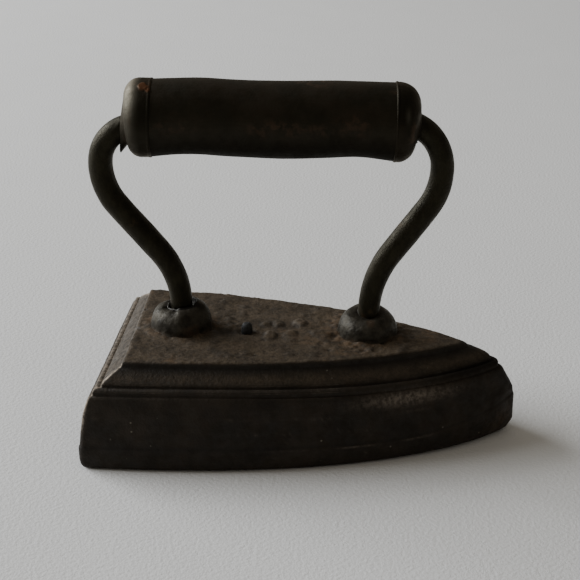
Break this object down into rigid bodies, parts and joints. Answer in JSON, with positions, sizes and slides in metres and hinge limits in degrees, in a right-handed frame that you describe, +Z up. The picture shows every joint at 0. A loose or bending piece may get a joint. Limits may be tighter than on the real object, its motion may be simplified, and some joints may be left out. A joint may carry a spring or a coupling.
{
  "type": "sad iron",
  "caption": "Flat iron with a solid boat-shaped cast body, a bent round rod handle set in domed collars and a hollow capped tube grip.",
  "frame": {"origin": "under the middle of the whole object's length and width, on the surface that the sole rests on", "axes": "+X towards the toe along the body's middle line, +Y towards the left side seen from behind the heel, +Z up, normal to the sole"},
  "size_m": [0.1632, 0.0988, 0.135],
  "materials": {
    "rusty_cast_iron": "aged, rust-brown and pitted on top, worn grey on the edges",
    "wrought_iron": "dark olive-grey, hand-polished by use",
    "poured_metal": "smooth blue-grey with ragged poured edges",
    "blackened_sheet": "brown-black, heat-darkened sheet steel with rust spots",
    "plug_metal": "smooth blue-grey"
  },
  "bodies": {
    "root": {"body_casting": "rusty_cast_iron", "handle_rod": "wrought_iron", "rear_foot_collar": "poured_metal", "front_foot_collar": "poured_metal", "grip_sleeve": "blackened_sheet", "rear_grip_cap": "blackened_sheet", "front_grip_cap": "blackened_sheet", "top_plug": "plug_metal"}
  },
  "joints": []
}
